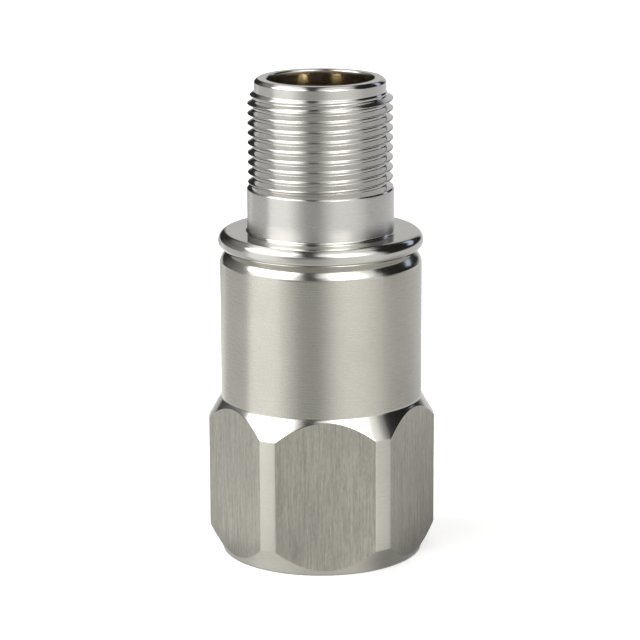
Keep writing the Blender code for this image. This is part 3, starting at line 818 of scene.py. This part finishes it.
def gold_material():
    mat, net, bsdf = material("gold_plate_fine", Metallic=1.0)
    place = net.place()
    x, y, z = net.split(place)
    rings = net.noise1(z, 14000.0, 3.0, 0.7)
    cloud = net.noise(place, 1800.0, 3.0, 0.6)
    rub = net.noise(net.scaled(place, 9000.0, 9000.0, 700.0), 1.0, 2.0, 0.6)
    tone = net.math("ADD", net.math("MULTIPLY", cloud, 0.6), net.math("MULTIPLY", rub, 0.4))
    net.feed(bsdf.inputs["Base Color"], net.mix(net.fit(tone, 0.35, 0.65), rgb(0.80, 0.62, 0.33), rgb(0.95, 0.79, 0.48)))
    net.feed(bsdf.inputs["Roughness"], net.fit(net.math("ADD", net.math("MULTIPLY", rings, 0.5),
                                                       net.math("MULTIPLY", rub, 0.5)), 0.3, 0.7, 0.14, 0.27))
    net.feed(bsdf.inputs["Normal"], net.bump(rings, 1.0, 0.0000006))
    return mat


def make_pin(name, x, gold):
    pin = Turned(name, even(48), centre=(x, 0.0))
    profile = [(0.14, PIN_TIP - 0.006), (0.30, PIN_TIP - 0.03), (0.42, PIN_TIP - 0.09), (0.52, PIN_TIP - 0.18),
               (0.61, PIN_TIP - 0.31), (0.68, PIN_TIP - 0.47), (0.735, PIN_TIP - 0.66), (0.768, PIN_TIP - 0.84),
               (PIN_R - 0.003, PIN_TIP - 0.98), (PIN_R, PIN_TIP - 1.10), (PIN_R, 47.0), (PIN_R, 44.0), (PIN_R, 41.0),
               (PIN_R, GLASS_LOW - 0.06), (PIN_R - 0.03, GLASS_LOW - 0.12), (PIN_TAIL_R + 0.03, GLASS_LOW - 0.38),
               (PIN_TAIL_R, GLASS_LOW - 0.44), (PIN_TAIL_R, PIN_TAIL_Z + 0.08), (PIN_TAIL_R - 0.08, PIN_TAIL_Z),
               (0.2, PIN_TAIL_Z)]
    rings = [pin.pole(PIN_TIP)] + [pin.ring(p) for p in profile] + [pin.pole(PIN_TAIL_Z)]
    pin.strip(rings, 0)
    return pin.build([gold])


housing = make_housing()
shell = make_shell()
glass = make_glass()
gold = gold_material()
pin_a = make_pin("contact_pin_a_fine", -PIN_X, gold)
pin_b = make_pin("contact_pin_b_fine", PIN_X, gold)

for piece, node, slot in ((housing, "hex_housing", "housing_steel"), (shell, "connector_shell", "connector_steel"),
                          (glass, "glass_seal", "sealing_glass"), (pin_a, "contact_pin_a", "gold_plate"),
                          (pin_b, "contact_pin_b", "gold_plate")):
    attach(piece, "root")
    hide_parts(node)

# ------------------------------------------------- materials of the CAD nodes
inner_steel = turned_steel("inner_turned_steel", (0.60, 0.595, 0.58), (0.50, 0.495, 0.48), 0.30, 0.05, 0.10, 0.0015)
nickel = grained("nickel_satin", (0.70, 0.68, 0.63), (0.58, 0.56, 0.51), 0.30, 0.06, 0.05, 0.0008, metallic=1.0)
tungsten = turned_steel("tungsten_turned", (0.40, 0.40, 0.41), (0.30, 0.30, 0.31), 0.38, 0.05, 0.09, 0.0015)
alumina = grained("alumina_ground", (0.88, 0.87, 0.83), (0.80, 0.79, 0.74), 0.55, 0.08, 0.03, 0.002,
                  specks=(0.62, 0.60, 0.55))
piezo = grained("piezo_ground", (0.66, 0.61, 0.48), (0.55, 0.50, 0.38), 0.60, 0.08, 0.03, 0.002,
                specks=(0.40, 0.36, 0.28))
polymer = grained("fluoropolymer", (0.92, 0.92, 0.90), (0.84, 0.84, 0.81), 0.50, 0.07, 0.12, 0.002,
                  Subsurface_Weight=0.1, Subsurface_Scale=0.0006)
laminate = grained("board_mask", (0.055, 0.26, 0.11), (0.03, 0.17, 0.075), 0.33, 0.07, 0.09, 0.0015,
                   specks=(0.10, 0.33, 0.16), Coat_Weight=0.4, Coat_Roughness=0.15)
black_body = grained("moulded_black", (0.045, 0.045, 0.045), (0.022, 0.022, 0.022), 0.55, 0.08, 0.03, 0.002)
yellow_body = grained("moulded_yellow", (0.78, 0.56, 0.15), (0.62, 0.42, 0.09), 0.48, 0.07, 0.04, 0.002)
black_wire = grained("insulation_black", (0.05, 0.05, 0.05), (0.025, 0.025, 0.025), 0.42, 0.07, 0.06, 0.0015)
red_wire = grained("insulation_red", (0.62, 0.07, 0.05), (0.45, 0.035, 0.03), 0.42, 0.07, 0.06, 0.0015)

FINISH = {
    "isolation_disc": alumina, "sensor_base": inner_steel, "piezo_ring_lower": piezo, "piezo_ring_upper": piezo,
    "signal_electrode": nickel, "insulating_sleeve": polymer, "seismic_mass": tungsten,
    "preload_washer": inner_steel, "preload_bolt": inner_steel, "shield_can": nickel, "board_spacer": polymer,
    "circuit_board": laminate, "amplifier_chip": black_body, "capacitor_a": yellow_body,
    "capacitor_b": yellow_body, "resistor_a": black_body, "resistor_b": black_body, "signal_wire": polymer,
    "ground_wire": black_wire, "pin_lead_a": red_wire, "pin_lead_b": black_wire,
    "hex_housing": barrel_steel, "connector_shell": neck_steel, "glass_seal": glass.data.materials[0],
    "contact_pin_a": gold, "contact_pin_b": gold,
}
for name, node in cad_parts.items():
    mat = FINISH[name]
    if not node.material_slots:
        node.data.materials.append(mat)
    for material_slot in node.material_slots:
        material_slot.material = mat

# ------------------------------------------------------- studio light and floor
TURN = math.radians(2.13)        # from the CAD's axes to the camera's side of the sensor


def seen_from_camera_side(net, vector):
    """x to the camera's right, the distance towards the camera, and z, from a vector in the CAD's axes."""
    x, y, z = net.split(vector)
    right = net.math("SUBTRACT", net.math("MULTIPLY", x, math.cos(TURN)), net.math("MULTIPLY", y, math.sin(TURN)))
    away = net.math("ADD", net.math("MULTIPLY", x, math.sin(TURN)), net.math("MULTIPLY", y, math.cos(TURN)))
    return right, net.math("MULTIPLY", away, -1.0), z


def azimuth_of(net, right, toward):
    """Degrees round the sensor: 0 is the camera's side, minus is its left."""
    return net.math("MULTIPLY", net.math("ARCTAN2", right, toward), 180.0 / math.pi)


def step(net, value, low, high):
    return net.fit(value, low, high, smooth=True)


def times(net, *values):
    out = values[0]
    for value in values[1:]:
        out = net.math("MULTIPLY", out, value)
    return out


def total(net, *values):
    out = values[0]
    for value in values[1:]:
        out = net.math("ADD", out, value)
    return out


def hump(net, value, centre, width_low, width_high, height):
    """A smooth rise of a level round one direction."""
    off = net.math("SUBTRACT", value, centre)
    low = net.math("DIVIDE", net.math("MINIMUM", off, 0.0), width_low)
    high = net.math("DIVIDE", net.math("MAXIMUM", off, 0.0), width_high)
    square = net.math("ADD", net.math("MULTIPLY", low, low), net.math("MULTIPLY", high, high))
    return net.math("MULTIPLY", net.math("EXPONENT", net.math("MULTIPLY", square, -0.5)), height)


def table_level(net, azimuth):
    """How light the table and the low wall are, all round: the soft boxes show in the table as two broad glows."""
    def change(low, high, amount):
        return net.math("MULTIPLY", step(net, azimuth, low, high), amount)

    return total(net, 0.99, change(-150.0, -128.0, -0.35), change(-92.0, -82.0, 0.48), change(-58.0, -18.0, -0.67),
                 change(-8.0, 24.0, 0.40), hump(net, azimuth, 42.0, 14.0, 14.0, 0.05), change(50.0, 88.0, -0.21),
                 change(104.0, 148.0, 0.07), change(150.0, 175.0, 0.28))


def close_level(net, azimuth):
    """The same for the table right beside the sensor's foot, seen in the lower cone."""
    return total(net, 0.61, hump(net, azimuth, -34.0, 18.0, 18.0, 0.24), hump(net, azimuth, 18.0, 9.0, 8.0, 0.10))


def make_floor():
    mesh = bpy.data.meshes.new("floor")
    half = 5.0
    mesh.from_pydata([(-half, -half, -0.00003), (half, -half, -0.00003), (half, half, -0.00003),
                      (-half, half, -0.00003)], [], [(0, 1, 2, 3)])
    floor = bpy.data.objects.new("floor", mesh)
    bpy.context.scene.collection.objects.link(floor)
    paper, net, bsdf = material("pale_floor", Roughness=0.9)
    bsdf.inputs["Specular IOR Level"].default_value = 0.0
    place = net.place()
    fibre = net.noise(place, 300.0, 4.0, 0.6)
    right, toward, z = seen_from_camera_side(net, place)
    azimuth = azimuth_of(net, right, toward)
    reach = net.math("MULTIPLY", net.vmath("LENGTH", net.join(right, toward, 0.0)), 1000.0)
    # the thin shadow where the foot stands on the table
    touch = net.fit(reach, 10.82, 11.02, 0.26, 1.0, smooth=True)
    paper_tone = net.mix(fibre, rgb(0.87, 0.87, 0.87), rgb(0.90, 0.90, 0.90))
    net.feed(bsdf.inputs["Base Color"], net.mix(touch, rgb(0.14, 0.138, 0.13), paper_tone))
    bsdf.inputs["Emission Color"].default_value = rgb(1.0, 1.0, 1.0)
    net.feed(bsdf.inputs["Emission Strength"], net.math("MULTIPLY", touch, 0.32))
    # what the metal sees of the table, with the sensor's own soft shadow on its right
    table = net.blend(step(net, reach, 12.0, 24.0), close_level(net, azimuth), table_level(net, azimuth))
    start = net.fit(reach, 12.0, 30.0, 18.0, 74.0)
    fade = net.math("SUBTRACT", 1.0, step(net, reach, 20.0, 88.0))
    side = step(net, net.math("SUBTRACT", azimuth, start), 0.0, net.fit(reach, 12.0, 45.0, 24.0, 38.0))
    side = net.math("MULTIPLY", side, net.math("SUBTRACT", 1.0, step(net, azimuth, 150.0, 178.0)))
    shade = net.math("SUBTRACT", 1.0, times(net, side, fade, 0.51))
    glow = net.add("ShaderNodeEmission")
    aside = step(net, net.math("ABSOLUTE", azimuth), 45.0, 100.0)
    net.feed(glow.inputs["Color"], net.mix(aside, rgb(1.0, 0.995, 0.968), rgb(1.0, 0.988, 0.99)))
    far = times(net, step(net, reach, 105.0, 150.0), step(net, azimuth, -138.0, -150.0), 0.42)
    front = times(net, step(net, reach, 140.0, 700.0), step(net, azimuth, -56.0, -36.0), step(net, azimuth, 14.0, -6.0), 0.12)
    near = times(net, step(net, reach, 75.0, 35.0), step(net, azimuth, -82.0, -70.0), step(net, azimuth, -40.0, -52.0), 0.15)
    lift = net.math("SUBTRACT", 1.0, total(net, far, front, near))
    net.feed(glow.inputs["Strength"], times(net, table, shade, lift))
    path = net.add("ShaderNodeLightPath")
    pick = net.add("ShaderNodeMixShader")
    out = paper.node_tree.nodes["Material Output"]
    net.feed(pick.inputs[0], path.outputs["Is Camera Ray"])
    net.feed(pick.inputs[1], glow.outputs[0])
    net.feed(pick.inputs[2], bsdf.outputs[0])
    # the floor is clear from below, so the underside can be looked at
    sides = net.add("ShaderNodeMixShader")
    net.feed(sides.inputs[0], net.add("ShaderNodeNewGeometry").outputs["Backfacing"])
    net.feed(sides.inputs[1], pick.outputs[0])
    net.feed(sides.inputs[2], net.add("ShaderNodeBsdfTransparent").outputs[0])
    net.feed(out.inputs["Surface"], sides.outputs[0])
    mesh.materials.append(paper)


def studio_world():
    """Two large soft boxes overhead with a narrow gap between them, in a dark room, laid out by direction."""
    world = bpy.data.worlds.new("studio")
    world.use_nodes = True
    tree = world.node_tree
    for old in list(tree.nodes):
        tree.nodes.remove(old)
    net = Net(tree)
    right, toward, z = seen_from_camera_side(net, net.add("ShaderNodeTexCoord").outputs["Generated"])
    azimuth = azimuth_of(net, right, toward)
    height = net.math("MULTIPLY", net.math("ARCSINE", z), 180.0 / math.pi)

    def ramp(edge, slope, side=1.0):
        """Grows with the azimuth's distance past an edge, on one side of it."""
        past = net.math("MAXIMUM", net.math("MULTIPLY", net.math("SUBTRACT", azimuth, edge), side), 0.0)
        return net.math("MULTIPLY", past, slope)

    # each box's lower edge, as a height that changes all round
    left_edge = net.math("MINIMUM", total(net, 17.0, ramp(-75.0, 0.15), ramp(-88.0, 0.9, -1.0)), 45.0)
    left_edge = net.math("SUBTRACT", left_edge, ramp(-150.0, 0.65, -1.0))
    right_edge = net.math("MINIMUM", total(net, 20.0, ramp(35.0, 0.42, -1.0), ramp(58.5, 1.1)), 58.0)
    right_edge = net.math("SUBTRACT", right_edge, ramp(145.0, 0.65))

    # the gap runs from the front over the top to the back; its edges are soft low down and sharp overhead
    gap = total(net, right, net.math("MULTIPLY", toward, 0.146), net.math("MULTIPLY", z, 0.1425))
    left_soft = net.fit(height, 38.0, 58.0, 0.30, 0.12)
    right_soft = net.fit(height, 33.0, 45.0, 0.31, 0.19)
    gap_left = net.fit(net.math("SUBTRACT", -0.045, gap), 0.0, left_soft, smooth=True)
    gap_right = net.fit(net.math("SUBTRACT", gap, net.fit(height, 38.0, 54.0, 0.04, 0.07)), 0.0, right_soft, smooth=True)
    soft = net.fit(azimuth, -95.0, -78.0, -4.0, -12.0)
    left_box = net.math("MULTIPLY", step(net, net.math("SUBTRACT", height, left_edge), soft, 6.0), gap_left)
    right_box = net.math("MULTIPLY", step(net, net.math("SUBTRACT", height, right_edge), -4.0, 5.0), gap_right)
    # the boxes are brightest in the middle of their height
    core = times(net, step(net, height, 22.0, 38.0), step(net, height, 66.0, 54.0))
    left_level = total(net, 1.45, times(net, core, step(net, azimuth, -120.0, -95.0), step(net, azimuth, -31.0, -54.0), 4.6))
    left_level = net.blend(step(net, height, 58.0, 68.0), left_level, 1.22)
    right_level = total(net, 1.25, net.math("MULTIPLY", step(net, azimuth, 0.0, 26.0), 0.3),
                        times(net, core, step(net, azimuth, 6.0, 30.0), step(net, azimuth, 60.0, 44.0), 4.4))
    right_level = net.math("MULTIPLY", right_level, net.fit(azimuth, 52.0, 78.0, 1.0, 0.52))
    right_level = net.blend(step(net, height, 60.0, 70.0), right_level, 1.05)

    # below them the table's glow goes on up a low wall; at the sides the room is dark
    front = times(net, step(net, azimuth, -56.0, -36.0), step(net, azimuth, 14.0, -6.0))
    fall = net.blend(front, net.fit(height, 30.0, 52.0, 1.0, 0.14, smooth=True), net.fit(height, -8.0, 27.0, 1.0, 0.24))
    low = net.math("MULTIPLY", table_level(net, azimuth), fall)
    left_dark = net.fit(azimuth, -150.0, -98.0, 0.03, 0.33)
    left_dark = net.blend(step(net, height, 22.0, 36.0), left_dark, 0.28)
    left_dark = net.blend(step(net, height, -2.5, 1.0), table_level(net, azimuth), left_dark)
    right_dark = net.fit(height, -4.0, 7.0, 0.64, 0.02, smooth=True)
    low = net.blend(step(net, azimuth, -93.0, -98.0), low, left_dark)
    low = net.blend(step(net, azimuth, 68.0, 84.0), low, right_dark)
    back = net.math("MAXIMUM", step(net, azimuth, -168.0, -176.0), step(net, azimuth, 150.0, 160.0))
    back = net.math("MULTIPLY", back, step(net, height, 40.0, 28.0))
    low = net.blend(back, low, 0.60)

    dark = times(net, step(net, gap, -0.17, -0.10), step(net, gap, 0.16, 0.08), step(net, height, 29.0, 34.0))
    low = net.blend(dark, low, 0.07)

    level = net.blend(left_box, low, left_level)
    level = net.blend(right_box, level, right_level)
    # a slanted cool window on the right
    along = total(net, net.math("MULTIPLY", net.math("SUBTRACT", azimuth, 131.5), 0.809),
                  net.math("MULTIPLY", net.math("SUBTRACT", height, 22.0), 0.588))
    across = total(net, net.math("MULTIPLY", net.math("SUBTRACT", azimuth, 131.5), -0.588),
                   net.math("MULTIPLY", net.math("SUBTRACT", height, 22.0), 0.809))
    window = times(net, step(net, along, -15.0, -8.0), step(net, along, 22.0, 16.0), step(net, across, -6.5, -3.0),
                   step(net, across, 6.5, 3.0), 0.85)

    white = net.add("ShaderNodeBackground")
    net.feed(white.inputs["Color"], rgb(1.0, 0.995, 0.98))
    net.feed(white.inputs["Strength"], level)
    blue = net.add("ShaderNodeBackground")
    net.feed(blue.inputs["Color"], rgb(0.72, 0.80, 1.0))
    net.feed(blue.inputs["Strength"], window)
    both = net.add("ShaderNodeAddShader")
    net.feed(both.inputs[0], white.outputs[0])
    net.feed(both.inputs[1], blue.outputs[0])
    paper = net.add("ShaderNodeBackground")
    net.feed(paper.inputs["Color"], rgb(1.0, 1.0, 1.0))
    net.feed(paper.inputs["Strength"], 1.0)
    path = net.add("ShaderNodeLightPath")
    pick = net.add("ShaderNodeMixShader")
    net.feed(pick.inputs[0], path.outputs["Is Camera Ray"])
    net.feed(pick.inputs[1], both.outputs[0])
    net.feed(pick.inputs[2], paper.outputs[0])
    out = net.add("ShaderNodeOutputWorld")
    net.feed(out.inputs[0], pick.outputs[0])
    bpy.context.scene.world = world


make_floor()
studio_world()

# -------------------------------------------------------------------- camera
camera_data = bpy.data.cameras.new("camera")
camera_data.lens = 145.73
camera_data.sensor_width = 36.0
camera_data.shift_x = -0.0018
camera_data.clip_start = 0.01
camera_data.clip_end = 50.0
camera = bpy.data.objects.new("camera", camera_data)
bpy.context.scene.collection.objects.link(camera)
eye = Vector((-10.14, -272.56, 93.78)) * MM
aim = Vector((0.0, 0.0, 25.42)) * MM
turn = (aim - eye).to_track_quat("-Z", "Y").to_matrix().to_4x4()
camera.matrix_world = Matrix.Translation(eye) @ turn @ Matrix.Rotation(math.radians(-0.232), 4, "Z")
bpy.context.scene.camera = camera
bpy.context.scene.view_settings.view_transform = "Standard"

bpy.context.view_layer.update()
